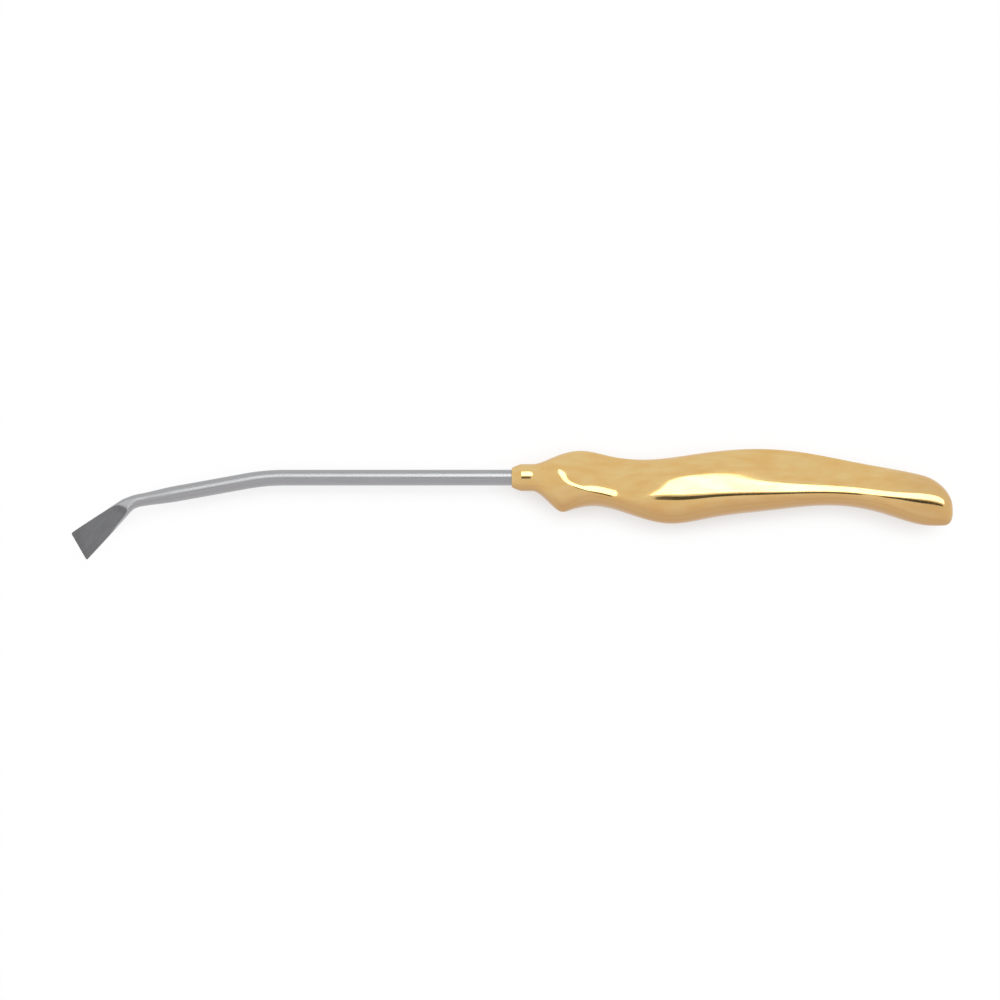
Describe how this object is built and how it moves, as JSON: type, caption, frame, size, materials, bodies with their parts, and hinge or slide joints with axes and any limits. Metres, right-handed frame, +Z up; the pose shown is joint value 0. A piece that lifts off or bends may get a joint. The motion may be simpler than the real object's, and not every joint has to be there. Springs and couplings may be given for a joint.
{
  "type": "scalp elevator",
  "caption": "Scalp elevator lying on its side: a palm-shaped plated grip on a slim, bent round shaft that ends in a flared, ground chisel blade.",
  "frame": {"origin": "middle of the instrument's overall box in plan, on the surface that it lies on", "axes": "+X along the instrument from the blade to the heel of the grip, +Y towards the grip's spine, +Z up; the blade's sharp edge points to -X and -Y"},
  "size_m": [0.239, 0.0302, 0.0136],
  "materials": {
    "grip_plating": "mirror-polished gold plate over a cast grip",
    "steel": "satin stainless steel, with ground faces on the blade"
  },
  "bodies": {
    "root": {"grip": "grip_plating", "shaft_and_blade": "steel"}
  },
  "joints": []
}
